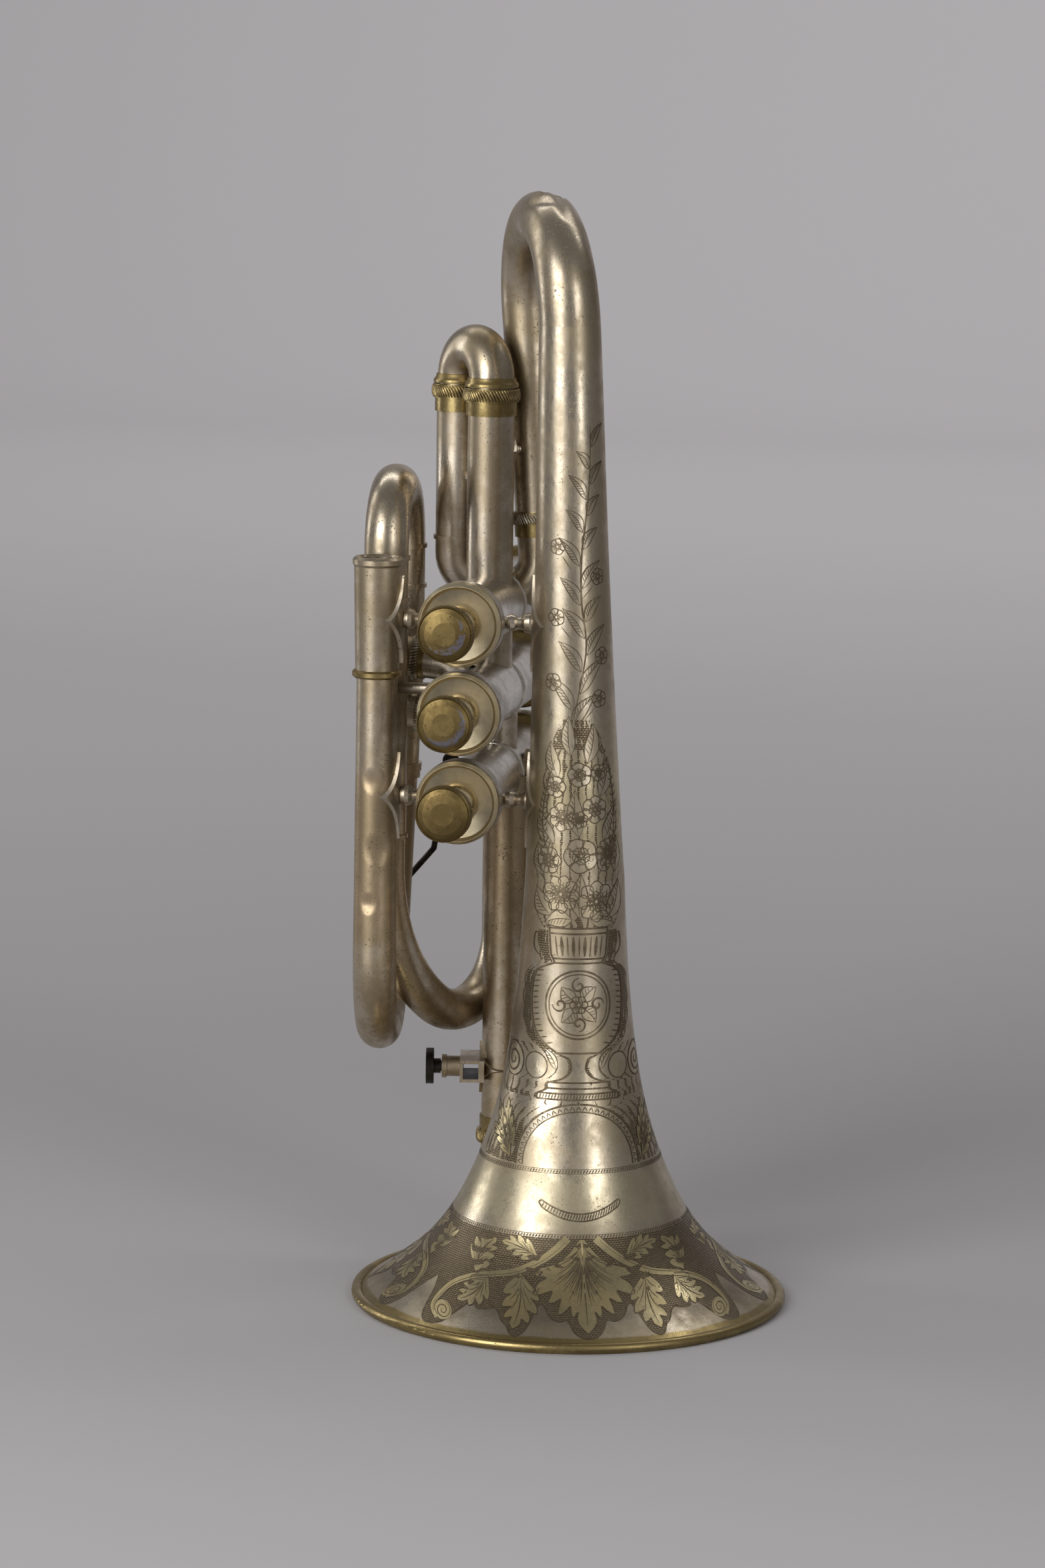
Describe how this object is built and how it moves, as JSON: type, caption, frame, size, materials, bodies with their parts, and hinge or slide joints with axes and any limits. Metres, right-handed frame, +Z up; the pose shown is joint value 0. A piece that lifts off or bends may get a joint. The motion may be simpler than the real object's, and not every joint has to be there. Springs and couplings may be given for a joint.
{
  "type": "cornet",
  "caption": "Silver-plated piston-valve cornet standing on its bell, with drawn slides, sprung valves, a water key and a lyre holder.",
  "frame": {"origin": "on the bell axis in the plane of the bell rim, where the cornet stands", "axes": "+Z up the bell axis, -Y the way the finger buttons face, -X towards the leadpipe"},
  "size_m": [0.128, 0.1534, 0.3031],
  "materials": {
    "silver": "satin, tarnished silver plate",
    "worn_silver": "satin, silver plate worn in places",
    "gilt": "satin gold wash",
    "button_brass": "worn satin brass",
    "black_steel": "blackened steel",
    "spring_steel": "satin",
    "cork": "matte cork",
    "felt": "matte felt"
  },
  "bodies": {
    "horn": {"bell": "silver", "bell_stem": "silver", "bell_bow": "silver", "bow_ferrule": "gilt", "return_tube": "silver", "knuckles": "silver", "mouthpiece_receiver": "silver", "receiver_ring": "gilt", "leadpipe": "worn_silver", "riser_sleeve": "worn_silver", "downpipe": "worn_silver", "valve_loop": "worn_silver", "first_slide_sleeves": "silver", "first_slide_ferrules": "gilt", "second_slide_sleeves": "silver", "second_slide_ferrules": "gilt", "third_slide_sleeves": "worn_silver", "third_slide_ferrules": "gilt", "leadpipe_brace_upper": "silver", "leadpipe_brace_lower": "silver", "bell_brace_upper": "silver", "bell_brace_lower": "silver", "slide_stays": "silver", "casing_post": "silver", "lyre_holder": "silver", "water_key_saddle": "silver", "water_key_pin": "spring_steel", "water_key_spring": "spring_steel", "valve_1_casing": "silver", "valve_1_top_cap": "gilt", "valve_1_bottom_cap": "gilt", "valve_1_spring": "spring_steel", "valve_2_casing": "silver", "valve_2_top_cap": "gilt", "valve_2_bottom_cap": "gilt", "valve_2_spring": "spring_steel", "valve_3_casing": "silver", "valve_3_top_cap": "gilt", "valve_3_bottom_cap": "gilt", "valve_3_spring": "spring_steel"},
    "plunger_1": {"valve_1_piston": "silver", "valve_1_stem": "silver", "valve_1_button": "button_brass", "valve_1_felt": "felt"},
    "plunger_2": {"valve_2_piston": "silver", "valve_2_stem": "silver", "valve_2_button": "button_brass", "valve_2_felt": "felt"},
    "plunger_3": {"valve_3_piston": "silver", "valve_3_stem": "silver", "valve_3_button": "button_brass", "valve_3_felt": "felt"},
    "tuning_slide": {"main_slide": "silver"},
    "first_slide": {"first_slide": "silver"},
    "second_slide": {"second_slide": "silver", "second_slide_knob": "silver"},
    "third_slide": {"third_slide": "silver"},
    "lyre_screw": {"lyre_screw": "black_steel"},
    "water_key": {"water_key_lever": "black_steel", "water_key_cork": "cork"}
  },
  "joints": [
    {"name": "press_valve_1", "type": "slide", "parent": "horn", "child": "plunger_1", "axis": [0, 1, 0], "range_m": [0, 0.013], "stiffness_N_per_m": 90, "springref_m": -0.012, "deforming": ["valve_1_spring"]},
    {"name": "press_valve_2", "type": "slide", "parent": "horn", "child": "plunger_2", "axis": [0, 1, 0], "range_m": [0, 0.013], "stiffness_N_per_m": 90, "springref_m": -0.012, "deforming": ["valve_2_spring"]},
    {"name": "press_valve_3", "type": "slide", "parent": "horn", "child": "plunger_3", "axis": [0, 1, 0], "range_m": [0, 0.013], "stiffness_N_per_m": 90, "springref_m": -0.012, "deforming": ["valve_3_spring"]},
    {"name": "draw_tuning_slide", "type": "slide", "parent": "horn", "child": "tuning_slide", "axis": [0, 0, 1], "range_m": [0, 0.02]},
    {"name": "draw_first_slide", "type": "slide", "parent": "horn", "child": "first_slide", "axis": [0, 0, 1], "range_m": [0, 0.015]},
    {"name": "draw_second_slide", "type": "slide", "parent": "horn", "child": "second_slide", "axis": [-0.9945, 0, 0.1045], "range_m": [0, 0.005]},
    {"name": "draw_third_slide", "type": "slide", "parent": "horn", "child": "third_slide", "axis": [0, 0, -1], "range_m": [0, 0.005]},
    {"name": "turn_lyre_screw", "type": "hinge", "parent": "horn", "child": "lyre_screw", "pos_m": [-0.04157, 0.03939, 0.0542], "axis": [-0.9848, -0.1736, 0], "continuous": true},
    {"name": "open_water_key", "type": "hinge", "parent": "horn", "child": "water_key", "pos_m": [-0.0612, 0.0537, 0.086], "axis": [1, 0, 0], "range_deg": [0, 9], "stiffness_Nm_per_rad": 0.03, "springref_deg": -20.05}
  ]
}
